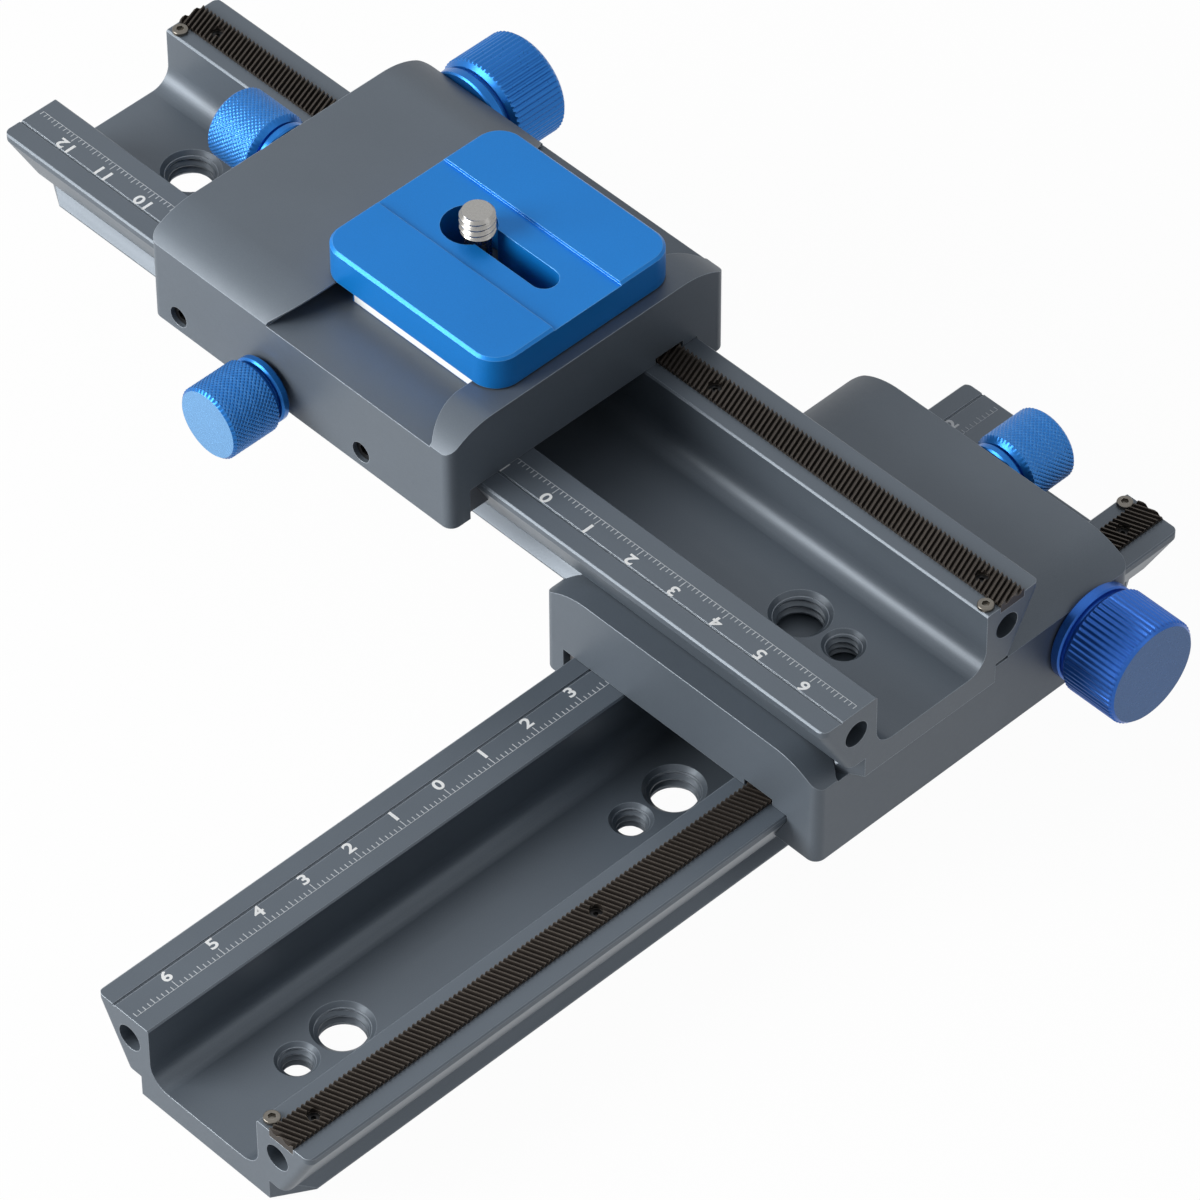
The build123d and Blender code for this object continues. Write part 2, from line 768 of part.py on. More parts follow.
# ================================================================ camera plate
plate_flank = foot_half - foot_neck_half
plate_underside = foot_edge + plate_flank + (foot_top - ridge_height)
with BuildPart() as camera_plate:
    with BuildSketch(Plane.XZ.offset(-plate_foot_half_length)):
        with BuildLine():
            half = Polyline(
                (0, 0),
                (foot_half, 0),
                (foot_half, foot_edge),
                (foot_neck_half, foot_edge + plate_flank),
                (foot_neck_half, plate_underside),
                (0, plate_underside),
            )
            mirror(half, about=Plane.YZ)
        make_face()
    extrude(amount=2 * plate_foot_half_length)
    with BuildSketch(Plane.XY.offset(plate_underside)):
        RectangleRounded(plate_width, plate_depth, plate_corner)
    extrude(amount=plate_height - plate_underside)
    top_rim = camera_plate.faces().sort_by(Axis.Z)[-1].edges()
    chamfer(top_rim, plate_chamfer)
    # the foot's corners are cut off in plan
    with BuildSketch(Plane.XY):
        with Locations((foot_half, plate_foot_half_length), (-foot_half, -plate_foot_half_length)):
            Rectangle(plate_foot_corner * sqrt(2), plate_foot_corner * sqrt(2), rotation=45)
        with Locations((-foot_half, plate_foot_half_length), (foot_half, -plate_foot_half_length)):
            Rectangle(plate_foot_corner * sqrt(2), plate_foot_corner * sqrt(2), rotation=45)
    extrude(amount=plate_underside, mode=Mode.SUBTRACT)
    # shallow channel across the top, keyhole slot, and the room for the screw's head
    with BuildSketch(Plane.XY.offset(plate_height)):
        with Locations((0, plate_channel_y)):
            Rectangle(plate_width + 2, plate_channel)
    extrude(amount=-plate_channel_depth, mode=Mode.SUBTRACT)
    slot_run = slot_end_x - keyhole_x
    with BuildSketch(Plane.XY):
        with Locations(((slot_end_x + keyhole_x) / 2, 0)):
            SlotCenterToCenter(slot_run, slot_width)
        with Locations((keyhole_x, 0)):
            Circle(keyhole_diameter / 2)
    extrude(amount=plate_height, mode=Mode.SUBTRACT)
    with BuildSketch(Plane.XY):
        with Locations(((slot_end_x + keyhole_x) / 2, 0)):
            SlotCenterToCenter(slot_run, recess_width)
    extrude(amount=recess_depth, mode=Mode.SUBTRACT)

# ================================================================ camera screw and washer
washer_top = recess_depth - camera_play
washer_bottom = washer_top - camera_washer_thickness
head_top_z = washer_bottom - camera_play
head_bottom = head_top_z - camera_head_height
thread_start = plate_height - plate_channel_depth + 2 * camera_play
with BuildPart() as camera_screw:
    with BuildSketch(Plane.XY.offset(head_bottom)):
        with Locations((camera_screw_x, 0)):
            Circle(camera_head_diameter / 2)
    extrude(amount=camera_head_height)
    with BuildSketch(Plane.XY.offset(head_top_z)):
        with Locations((camera_screw_x, 0)):
            Circle(camera_neck_diameter / 2)
    extrude(amount=thread_start - head_top_z)
    with BuildSketch(Plane.XY.offset(thread_start)):
        with Locations((camera_screw_x, 0)):
            Circle(small_thread / 2)
    extrude(amount=camera_thread_length)
    tip = camera_screw.edges().filter_by(GeomType.CIRCLE).group_by(Axis.Z)[-1]
    chamfer(tip, small_knob_chamfer)
    with BuildSketch(Plane.XY.offset(head_bottom)):
        with Locations((camera_screw_x, 0)):
            Rectangle(camera_head_diameter + 1, camera_head_slot)
    extrude(amount=camera_head_height / 2, mode=Mode.SUBTRACT)

with BuildPart() as camera_washer:
    with BuildSketch(Plane.XY.offset(washer_bottom)):
        with Locations((camera_screw_x, 0)):
            Circle(camera_head_diameter / 2)
            Circle(camera_neck_diameter / 2 + camera_play, mode=Mode.SUBTRACT)
    extrude(amount=camera_washer_thickness)


# ================================================================ the two units
# Lower unit: its x runs along -Y. Upper unit: its x runs along +X, on the lower clamp.
clamp_height = rail_height + groove_floor + foot_lift
lower_unit = Location(Plane(origin=(0, tripod_x, rail_height), x_dir=(0, -1, 0), z_dir=(0, 0, 1)))
upper_unit = Location(
    (-upper_clamp_station, tripod_x + groove_centre - lower_near, rail_height + clamp_height)
)
units = (("lower", lower_unit, lower_near), ("upper", upper_unit, upper_near))
lock_place = Location((-lock_station, -carriage_half, -gib_screw_z), (180, 0, 0))
clamp_place = Location((-carriage_length, 0, clamp_screw_z), (0, 0, 90))
drive_place = Location((-drive_station, 0, drive_axis_z))

rail_pieces = {
    "rail": rail,
    "rack": rack,
    "rack_screws": rack_screws,
    "stop_screws": stop_screws,
}
carriage_pieces = {
    "carriage": (carriage, Location()),
    "gib": (gib, Location()),
    "gib_screws": (gib_screws, Location()),
    "drive_shaft": (drive_shaft, Location()),
    "drive_bushes": (drive_bushes, Location()),
    "drive_collar": (drive_collar, Location()),
    "drive_knob": (drive_knob, drive_place),
    "knob_set_screw": (knob_set_screw, drive_place),
    "lock_pad": (lock_pad, Location()),
    "lock_screw": (lock_screw, Location()),
    "lock_knob": (lock_knob, lock_place),
    "clamp_jaw": (clamp_jaw, Location()),
    "clamp_screw": (clamp_screw, Location()),
    "clamp_knob": (clamp_knob, clamp_place),
}
plate_pieces = {
    "camera_plate": camera_plate,
    "camera_screw": camera_screw,
    "camera_washer": camera_washer,
}


def write(piece, place, name):
    placed = piece.part.moved(place)
    placed.label = name
    export_step(placed, f"parts/{name}.step")


for unit, place, near in units:
    for name, piece in rail_pieces.items():
        write(piece, place, f"{unit}_{name}")
    for name, (piece, seat) in carriage_pieces.items():
        write(piece, place * Location((near, 0, 0)) * seat, f"{unit}_{name}")

plate_place = Location((upper_near - groove_centre, plate_station_y, groove_floor + foot_lift))
for name, piece in plate_pieces.items():
    write(piece, upper_unit * plate_place, name)
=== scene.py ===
import math

import bmesh
import bpy
import numpy as np
from mathutils import Matrix


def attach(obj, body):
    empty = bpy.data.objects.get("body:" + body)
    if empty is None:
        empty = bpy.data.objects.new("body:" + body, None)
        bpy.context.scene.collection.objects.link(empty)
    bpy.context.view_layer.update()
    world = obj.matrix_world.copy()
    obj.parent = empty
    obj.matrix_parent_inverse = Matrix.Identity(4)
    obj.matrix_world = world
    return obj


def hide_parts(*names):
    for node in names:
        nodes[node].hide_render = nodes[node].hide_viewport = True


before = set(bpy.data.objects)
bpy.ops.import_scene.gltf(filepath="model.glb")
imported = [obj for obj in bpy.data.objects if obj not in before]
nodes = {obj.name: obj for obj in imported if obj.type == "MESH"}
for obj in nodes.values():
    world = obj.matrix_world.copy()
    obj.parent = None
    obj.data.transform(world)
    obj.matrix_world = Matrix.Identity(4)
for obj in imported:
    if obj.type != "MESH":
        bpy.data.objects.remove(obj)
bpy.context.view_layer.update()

mm = 0.001
hair = 0.01  # slack in mm when one size is compared with another
fullTurn = 2 * math.pi
units = ("lower", "upper")
railFinish = {"lower": "railAlongY", "upper": "railAlongX"}
unitZero = {"lower": (0.0, -35.0, 17.0), "upper": (-35.7, 24.85, 44.02)}  # in the row's millimetres
gear = dict(module=0.3, helix=math.radians(20), teeth=16, addendum=0.375, backlash=0.08)
rackPitch = math.pi * gear["module"] / math.cos(gear["helix"])
nearFace = {"lower": -36.0, "upper": -36.0 + 26 * rackPitch}  # in mm along the rail, whole teeth apart
carriage = dict(length=74.0, halfWidth=32.0)


def toRow(unit, points):
    # a unit's own millimetres (along, across, up) become metres in the row's frame;
    # the lower unit lies a quarter turned, with its own length along -Y
    p = np.asarray(points, float)
    if unit == "lower":
        p = np.stack([p[..., 1], -p[..., 0], p[..., 2]], -1)
    return (p + np.array(unitZero[unit])) * mm


def newObject(name, points, faces, smooth=True):
    # points in metres; faces a list of corner lists
    mesh = bpy.data.meshes.new(name)
    mesh.from_pydata(np.asarray(points).reshape(-1, 3), [], faces)
    mesh.polygons.foreach_set("use_smooth", np.full(len(mesh.polygons), smooth))
    mesh.update()
    item = bpy.data.objects.new(name, mesh)
    bpy.context.scene.collection.objects.link(item)
    return item


def cornerLists(arrays):
    # index arrays of three and four corners become one list of faces
    return [corners for part in arrays for corners in part.tolist()]


def tubeFaces(rings, around):
    # quads between neighbouring rings, the last point of a ring joined to its first
    i = np.arange(rings - 1)[:, None]
    j = np.arange(around)[None, :]
    k = (j + 1) % around
    quads = np.stack([i * around + j, i * around + k, (i + 1) * around + k, (i + 1) * around + j], -1)
    return quads.reshape(-1, 4)


def fanFaces(first, count, centre, flip=False):
    # triangles from one ring to a centre point
    j = np.arange(count)
    tris = np.stack([first + j, first + (j + 1) % count, np.full(count, centre)], -1)
    return tris[:, ::-1] if flip else tris


def facesOutward(item):
    # turns a closed shell's faces so that they all point out of it
    shell = bmesh.new()
    shell.from_mesh(item.data)
    bmesh.ops.recalc_face_normals(shell, faces=shell.faces)
    shell.to_mesh(item.data)
    shell.free()


def sharpen(item, degrees):
    # edges that turn more than this stay crisp under smooth shading
    item.data.set_sharp_from_angle(angle=math.radians(degrees))


# what a finish has unless its own entry says otherwise; scales are per metre, lengths in metres
plainLook = dict(metallic=0.0, specular=0.5, roughness=0.5, roughSpread=0.02, streak=(1, 1, 1), streakScale=900,
                 streakDetail=3.0, variation=0.05, patchScale=45, patchDetail=3.0, grainScale=5000, grainDetail=2.0,
                 speckle=0.3, speckGain=1.35, bump=0.1, bumpDepth=0.00001, edgeHighlight=0.0, edgeHighlightRadius=0.00025,
                 edgeHighlightGain=5.0, soften=0.0)
slate = (0.094, 0.115, 0.140)
# the paler slate below is a painted highlight colour for the edges
slateHighlight = (0.42, 0.47, 0.53)
finishLooks = {
    "railAlongY": dict(color=slate, metallic=0.32, roughness=0.43, streak=(1, 0.03, 1), edgeHighlight=0.75,
                       edgeHighlightColor=slateHighlight, soften=0.0002),
    "railAlongX": dict(color=slate, metallic=0.32, roughness=0.43, streak=(0.03, 1, 1), edgeHighlight=0.75,
                       edgeHighlightColor=slateHighlight, soften=0.0002),
    "carriageBody": dict(color=slate, metallic=0.28, roughness=0.47, edgeHighlight=0.7, edgeHighlightColor=slateHighlight, soften=0.0002),
    "blackRack": dict(color=(0.036, 0.030, 0.026), metallic=0.6, roughness=0.38, edgeHighlight=0.6, edgeHighlightRadius=0.00010,
                      edgeHighlightColor=(0.30, 0.25, 0.20), variation=0.25, grainScale=3000, bump=0.2),
    "darkScrew": dict(color=(0.015, 0.015, 0.016), metallic=0.7, roughness=0.35, edgeHighlight=0.3, edgeHighlightRadius=0.0001,
                      edgeHighlightColor=(0.12, 0.12, 0.12)),
    "nickelScrew": dict(color=(0.14, 0.13, 0.115), metallic=0.95, roughness=0.34, edgeHighlight=0.5, edgeHighlightRadius=0.00012,
                        edgeHighlightColor=(0.5, 0.48, 0.44), grainScale=2500),
    "brightScrew": dict(color=(0.28, 0.275, 0.265), metallic=1.0, roughness=0.27, grainScale=2500),
    "gibSteel": dict(color=(0.16, 0.16, 0.17), metallic=0.9, roughness=0.35, streak=(0.05, 1, 1)),
    "bronze": dict(color=(0.42, 0.24, 0.09), metallic=1.0, roughness=0.34),
    "shaftSteel": dict(color=(0.48, 0.48, 0.48), metallic=1.0, roughness=0.22),
    "padBrass": dict(color=(0.58, 0.40, 0.13), metallic=1.0, roughness=0.3),
    "brightBlue": dict(color=(0.012, 0.140, 0.455), metallic=0.60, specular=0.3, roughness=0.29, variation=0.04,
                       edgeHighlight=0.35, edgeHighlightRadius=0.00012, edgeHighlightColor=(0.22, 0.55, 1.0), soften=0.0001),
    "royalBlue": dict(color=(0.024, 0.117, 0.450), metallic=0.62, specular=0.3, roughness=0.30, variation=0.04,
                      edgeHighlight=0.35, edgeHighlightRadius=0.00012, edgeHighlightColor=(0.08, 0.20, 0.62), soften=0.0001),
    # the end copies below hold painted light: a painted highlight on the bright end, painted shade and sheen on the
    # royal end
    "brightBlueEnd": dict(color=(0.150, 0.360, 0.66), metallic=0.60, specular=0.3, roughness=0.27, variation=0.04,
                          speckle=0.08, bump=0.03, soften=0.0001),
    "royalBlueEnd": dict(color=(0.032, 0.095, 0.240), metallic=0.62, specular=0.3, roughness=0.28, variation=0.04,
                         speckle=0.08, bump=0.03, soften=0.0001),
    "plateBlue": dict(color=(0.005, 0.180, 0.56), metallic=0.36, specular=0.3, roughness=0.36, variation=0.04,
                      edgeHighlight=0.8, edgeHighlightRadius=0.00022, edgeHighlightColor=(0.20, 0.52, 0.90), soften=0.00015),
    "washerBlack": dict(color=(0.02, 0.02, 0.02)),
    "scaleWhite": dict(color=(0.78, 0.80, 0.81), grainScale=9000),
    "tickWhite": dict(color=(0.50, 0.53, 0.56), grainScale=9000),
}
noiseRoughness = 0.55
roundSamples = 6


def addNoise(tree, stretch, scale, detail):
    # noise on Object coordinates, stretched by its Mapping node
    coord = tree.nodes.new("ShaderNodeTexCoord")
    mapping = tree.nodes.new("ShaderNodeMapping")
    mapping.inputs["Scale"].default_value = stretch
    noise = tree.nodes.new("ShaderNodeTexNoise")
    noise.inputs["Scale"].default_value = scale
    noise.inputs["Detail"].default_value = detail
    noise.inputs["Roughness"].default_value = noiseRoughness
    tree.links.new(coord.outputs["Object"], mapping.inputs["Vector"])
    tree.links.new(mapping.outputs["Vector"], noise.inputs["Vector"])
    return noise.outputs["Fac"]


def ramp(tree, source, low, high, fromLow=0.3, fromHigh=0.7):
    # maps a value, by default a noise between 0.3 and 0.7, onto the range low to high
    node = tree.nodes.new("ShaderNodeMapRange")
    node.inputs["From Min"].default_value = fromLow
    node.inputs["From Max"].default_value = fromHigh
    node.inputs["To Min"].default_value = low
    node.inputs["To Max"].default_value = high
    tree.links.new(source, node.inputs["Value"])
    return node.outputs["Result"]


def mixColor(tree, factor, a, b):
    # a and b are a colour or a socket; a Mix node keeps its colour sockets at 6 and 7, and their result at 2
    node = tree.nodes.new("ShaderNodeMix")
    node.data_type = "RGBA"
    for socket, value in ((node.inputs[6], a), (node.inputs[7], b)):
        if isinstance(value, tuple):
            socket.default_value = (*value, 1)
        else:
            tree.links.new(value, socket)
    tree.links.new(factor, node.inputs[0])
    return node.outputs[2]


def roundedNormal(tree, radius):
    # the normal of the same surface with its edges rounded this far
    bevel = tree.nodes.new("ShaderNodeBevel")
    bevel.samples = roundSamples
    bevel.inputs["Radius"].default_value = radius
    return bevel.outputs["Normal"]


def edgeMask(tree, radius, gain):
    # 0 on flats and towards 1 at edges: how far a rounded normal leans from the true one
    geometry = tree.nodes.new("ShaderNodeNewGeometry")
    dot = tree.nodes.new("ShaderNodeVectorMath")
    dot.operation = "DOT_PRODUCT"
    tree.links.new(roundedNormal(tree, radius), dot.inputs[0])
    tree.links.new(geometry.outputs["True Normal"], dot.inputs[1])
    return ramp(tree, dot.outputs["Value"], 0.0, 1.0, 1.0, 1.0 - 1.0 / gain)


def metalFinish(name, ownLook):
    # colour = base mixed with slow patches, then fine specks, then paler edges, a painted edge highlight;
    # roughness = base plus streaks; height = the same fine specks; edges rounded in the shading
    look = {**plainLook, **ownLook}
    base = look["color"]
    mat = bpy.data.materials.new(name)
    mat.use_nodes = True
    tree = mat.node_tree
    bsdf = tree.nodes["Principled BSDF"]
    bsdf.inputs["Base Color"].default_value = (*base, 1)
    bsdf.inputs["Roughness"].default_value = look["roughness"]
    bsdf.inputs["Metallic"].default_value = look["metallic"]
    bsdf.inputs["Specular IOR Level"].default_value = look["specular"]
    grain = addNoise(tree, (1, 1, 1), look["grainScale"], look["grainDetail"])
    patch = addNoise(tree, (1, 1, 1), look["patchScale"], look["patchDetail"])
    dark = tuple(c * (1 - look["variation"]) for c in base)
    pale = tuple(min(1, c * (1 + look["variation"])) for c in base)
    specks = tuple(min(1, c * look["speckGain"]) for c in base)
    colour = mixColor(tree, ramp(tree, patch, 0.0, 1.0), dark, pale)
    colour = mixColor(tree, ramp(tree, grain, 0.0, look["speckle"]), colour, specks)
    # paler colour towards the edges: a painted highlight along them
    if look["edgeHighlight"] > 0:
        level = tree.nodes.new("ShaderNodeMath")
        level.operation = "MULTIPLY"
        level.inputs[1].default_value = look["edgeHighlight"]
        tree.links.new(edgeMask(tree, look["edgeHighlightRadius"], look["edgeHighlightGain"]), level.inputs[0])
        colour = mixColor(tree, level.outputs[0], colour, look["edgeHighlightColor"])
    tree.links.new(colour, bsdf.inputs["Base Color"])
    streak = addNoise(tree, look["streak"], look["streakScale"], look["streakDetail"])
    rough, spread = look["roughness"], look["roughSpread"]
    tree.links.new(ramp(tree, streak, rough - spread, rough + spread), bsdf.inputs["Roughness"])
    bump = tree.nodes.new("ShaderNodeBump")
    bump.inputs["Strength"].default_value = look["bump"]
    bump.inputs["Distance"].default_value = look["bumpDepth"]
    tree.links.new(grain, bump.inputs["Height"])
    if look["soften"] > 0:
        tree.links.new(roundedNormal(tree, look["soften"]), bump.inputs["Normal"])
    tree.links.new(bump.outputs["Normal"], bsdf.inputs["Normal"])
    return mat


finishes = {name: metalFinish(name, look) for name, look in finishLooks.items()}
print("finishes made:", len(finishes))


def dress(nodeName, finish):
    slots = nodes[nodeName].data.materials
    slots.clear()
    slots.append(finishes[finish])


pieceFinish = {
    "rack": "blackRack", "rack_screws": "darkScrew", "stop_screws": "nickelScrew", "carriage": "carriageBody",
    "gib": "gibSteel", "gib_screws": "darkScrew", "drive_shaft": "shaftSteel", "drive_bushes": "bronze",
    "drive_collar": "brightBlue", "knob_set_screw": "darkScrew", "lock_pad": "padBrass", "lock_screw": "brightScrew",
    "clamp_jaw": "carriageBody", "clamp_screw": "brightScrew", "drive_knob": "brightBlue", "lock_knob": "brightBlue",
    "clamp_knob": "brightBlue",
}
for unit in units:
    dress(unit + "_rail", railFinish[unit])
    for piece, finish in pieceFinish.items():
        dress(unit + "_" + piece, finish)
for piece in ("drive_knob", "drive_collar"):
    dress("lower_" + piece, "royalBlue")
dress("camera_plate", "plateBlue")
dress("camera_washer", "washerBlack")
print("solid pieces dressed:", len(nodes))


def sampleProfile(corners, steps):
    # straight runs between corner points, each cut into pieces about its own step long
    points = [np.array(corners[0], float)[None, :]]
    for a, b, step in zip(corners[:-1], corners[1:], steps):
        a, b = np.array(a, float), np.array(b, float)
        count = max(1, int(round(np.linalg.norm(b - a) / step)))
        t = np.arange(1, count + 1)[:, None] / count
        points.append(a + (b - a) * t)
    return np.concatenate(points)


def zigzag(v):
    # 0 at whole numbers, 1 half way between them
    return 1 - np.abs(2 * (v - np.floor(v)) - 1)


def aroundAxis(radius, along, angle):
    # rings round the knob's own axis, closed at the outer end by a fan to a middle point
    rings, count = radius.shape
    points = np.stack([radius * np.cos(angle), along + 0 * angle, radius * np.sin(angle)], -1)
    flat = np.concatenate([points.reshape(-1, 3), [[0, along[-1, 0], 0]]])
    return flat, cornerLists([tubeFaces(rings, count), fanFaces((rings - 1) * count, count, rings * count)])


knobCrease = 38
# the turning that all knurled knobs share, then each kind's gap to the carriage, bore and place, in mm
smallKnob = dict(radius=6.9, flangeRadius=6.3, flangeWidth=1.7, neckRadius=5.2, neckLength=0.5, gripLength=10.9,
                 innerBevel=1.0, outerBevel=0.5, edge=0.35, middle=1.0, diamonds=48, knurlDepth=0.16,
                 knurlPitch=0.47, grooveShare=0.5, around=9, gripStep=0.1, plainStep=0.5, coarseStep=3.0)
lockKnob = dict(gap=0.8, bore=2.02, station=44.5, height=-3.4)
clampKnob = dict(gap=0.3, bore=3.02, height=7.9)


def knurledKnob(fit, s):
    # radius(distance, angle) = turned outline less the depth of two families of spiral grooves;
    # a groove's depth falls to nothing over a share of the spacing, which leaves flat diamonds
    gap = fit["gap"]
    flangeEnd = gap + s["flangeWidth"]
    grip = flangeEnd + s["neckLength"]
    end = grip + s["gripLength"]
    r, edge = s["radius"], s["edge"]
    outline = [
        (fit["bore"], gap), (s["flangeRadius"] - edge, gap), (s["flangeRadius"], gap + edge),
        (s["flangeRadius"], flangeEnd - edge), (s["flangeRadius"] - edge, flangeEnd), (s["neckRadius"], flangeEnd),
        (s["neckRadius"], grip), (r - s["innerBevel"], grip), (r, grip + s["innerBevel"]), (r, end - s["outerBevel"]),
        (r - s["outerBevel"], end), (s["middle"], end),
    ]
    steps = [s["coarseStep"]] + [s["plainStep"]] * 7 + [s["gripStep"], s["plainStep"], s["coarseStep"]]
    profile = sampleProfile(outline, steps)
    count = s["diamonds"] * s["around"]
    angle = np.arange(count) * fullTurn / count
    radius, along = profile[:, :1], profile[:, 1:]
    turn = angle[None, :] * s["diamonds"] / fullTurn
    slope = (along - grip) / s["knurlPitch"]
    height = np.minimum(zigzag(turn + slope / 2), zigzag(turn - slope / 2))
    height = np.clip(height / s["grooveShare"], 0, 1)
    cut = s["knurlDepth"] * (1 - height) * (radius > r - hair)
    return aroundAxis(radius - cut, along, angle)


def turnedTo(points, direction):
    # a knob is made along +across; this lays it along the given way in the unit's frame
    if direction == "acrossMinus":
        return np.stack([points[:, 0], -points[:, 1], -points[:, 2]], -1)
    if direction == "alongMinus":
        return np.stack([-points[:, 1], points[:, 0], points[:, 2]], -1)
    return points


def placeKnob(unit, kind, shape, direction, seat, finish):
    # kind is the knob's name in the record, such as lock_knob on the body lock
    flat, faces = shape
    node = unit + "_" + kind
    item = newObject(node + "Turned", toRow(unit, turnedTo(flat, direction) + np.array(seat)), faces)
    facesOutward(item)
    sharpen(item, knobCrease)
    # the turned end face, where the outline's last point lies, gets a copy of the knob's finish with painted light on
    # it: paler than the grip on the bright knobs (painted highlight), darker and greyer on the royal knob (painted
    # shade and sheen)
    item.data.materials.append(finishes[finish])
    item.data.materials.append(finishes[finish + "End"])
    root, tip = toRow(unit, turnedTo(np.stack([0 * flat[-1], flat[-1]]), direction) + np.array(seat))
    middles = np.zeros(len(faces) * 3, np.float32)
    item.data.polygons.foreach_get("center", middles)
    height = (middles.reshape(-1, 3) - tip) @ ((tip - root) / np.linalg.norm(tip - root))
    item.data.polygons.foreach_set("material_index", (height > -hair * mm).astype(np.int32))
    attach(item, node.removesuffix("_knob"))
    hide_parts(node)


lockShape = knurledKnob(lockKnob, smallKnob)
clampShape = knurledKnob(clampKnob, smallKnob)
for unit in units:
    lockSeat = (nearFace[unit] - lockKnob["station"], -carriage["halfWidth"], lockKnob["height"])
    clampSeat = (nearFace[unit] - carriage["length"], 0.0, clampKnob["height"])
    placeKnob(unit, "lock_knob", lockShape, "acrossMinus", lockSeat, "brightBlue")
    placeKnob(unit, "clamp_knob", clampShape, "alongMinus", clampSeat, "brightBlue")
print("knurled knobs made")


driveKnob = dict(radius=10.0, start=34.15, hubRadius=8.4, hubLength=0.8, bevel=1.0, length=11.9, chamfer=0.7,
                 middle=1.0, flutes=60, fluteDepth=0.30, fluteMean=0.5, fluteSteep=0.9, fadeLength=0.25,
                 plainEnd=0.35, chamferShare=0.55, around=10, boreRadius=2.02, screwAt=4.5, screwRadius=1.53,
                 screwFloor=6.95, screwReach=0.1, step=0.17, plainStep=3.0, station=64.0)
driveHeight = gear["backlash"] + gear["addendum"] + gear["teeth"] * gear["module"] / math.cos(gear["helix"]) / 2


def flutedKnob(s):
    # radius(distance, angle): a turned outline; on the grip a rounded square wave in angle makes the ribs,
    # and one small round hole reaches down to the set screw
    gripStart = s["start"] + s["hubLength"]
    end = gripStart + s["length"]
    r = s["radius"]
    outline = [
        (s["boreRadius"], s["start"]), (s["hubRadius"], s["start"]), (s["hubRadius"], gripStart),
        (r - s["bevel"], gripStart), (r, gripStart + s["bevel"]), (r, end - s["chamfer"]),
        (r - s["chamfer"], end), (s["middle"], end),
    ]
    profile = sampleProfile(outline, [s["plainStep"]] * 3 + [s["step"]] * 3 + [s["plainStep"]])
    count = s["flutes"] * s["around"]
    angle = np.arange(count) * fullTurn / count
    radius, along = profile[:, :1], profile[:, 1:]
    groove = np.clip(s["fluteMean"] - s["fluteSteep"] * np.cos(angle[None, :] * s["flutes"]), 0, 1)
    fadeIn = np.clip((along - gripStart - s["bevel"] + s["fadeLength"]) / s["fadeLength"], 0, 1)
    fadeOut = np.clip((end - s["plainEnd"] - along) / s["fadeLength"], 0, 1)
    onGrip = fadeIn * fadeOut * (radius > r - s["chamfer"] * s["chamferShare"])
    ribbed = radius - s["fluteDepth"] * groove * onGrip
    fromHole = np.hypot(ribbed * np.angle(np.exp(1j * (angle + math.pi / 2))), along - gripStart - s["screwAt"])
    inHole = (fromHole < s["screwRadius"]) & (radius > r - s["screwReach"])
    return aroundAxis(np.where(inHole, s["screwFloor"], ribbed), along, angle)


driveShape = flutedKnob(driveKnob)
for unit, slotName, finish in (("lower", "lower_drive_blue", "royalBlue"), ("upper", "knob_blue", "brightBlue")):
    driveSeat = (nearFace[unit] - driveKnob["station"], 0.0, driveHeight)
    placeKnob(unit, "drive_knob", driveShape, "acrossPlus", driveSeat, finish)
print("drive knobs made")


# the tripod threads, 3/8 and 1/4 inch; each pair stands either side of its middle, along the rail
threadKinds = {
    "large": dict(major=4.755, minor=4.02, pitch=1.5875, rim=5.5, offset=-5.0, around=72),
    "small": dict(major=3.168, minor=2.55, pitch=1.27, rim=3.8, offset=5.0, around=60),
}
threadRun = dict(low=-16.95, floor=-12.0, step=0.1, lead=0.4, skin=0.02, ridgeSteep=1.5, ridgeFlat=0.25,
                 pairMiddles=(-105.0, -30.0, 45.0))


def threadSleeve(centreX, s, run):
    # inner wall: radius(height, angle) = the larger of the countersink and the thread, whose ridge is
    # a flattened zigzag of height / pitch less turns; outer wall: the plain hole, which closes it
    high = run["floor"] - (s["rim"] - s["major"]) - run["skin"]
    steps = int((high - run["low"]) / run["step"])
    z = np.linspace(run["low"], high, steps)[:, None]
    count = s["around"]
    angle = np.arange(count)[None, :] * fullTurn / count
    ridge = np.clip(zigzag(z / s["pitch"] - angle / fullTurn) * run["ridgeSteep"] - run["ridgeFlat"], 0, 1)
    lead = np.clip((z - run["low"]) / run["lead"], 0, 1)
    inner = s["major"] - run["skin"] - ridge * (s["major"] - s["minor"]) * lead
    inner = np.maximum(inner, np.minimum(s["rim"] + z - run["floor"], s["major"] - run["skin"]))
    outer = np.full((2, count), s["major"])
    ends = np.array([[high], [run["low"]]])
    radius = np.concatenate([inner, outer])
    height = np.concatenate([z + 0 * angle, ends + 0 * angle])
    turn = np.concatenate([angle + 0 * z, angle + 0 * ends])
    points = np.stack([centreX + radius * np.cos(turn), radius * np.sin(turn), height], -1)
    last = tubeFaces(2, count)
    last = np.where(last >= count, last - count, last + (len(radius) - 1) * count)
    return points.reshape(-1, 3), np.concatenate([tubeFaces(len(radius), count), last])


for unit in units:
    points, faces, offset = [], [], 0
    for kind in threadKinds.values():
        for middle in threadRun["pairMiddles"]:
            sleevePoints, sleeveFaces = threadSleeve(middle + kind["offset"], kind, threadRun)
            points.append(sleevePoints)
            faces.append(sleeveFaces + offset)
            offset += len(sleevePoints)
    item = newObject(unit + "RailThreads", toRow(unit, np.concatenate(points)), cornerLists(faces))
    facesOutward(item)
    item.data.materials.append(finishes[railFinish[unit]])
    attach(item, unit + "_rail")
print("threads made")


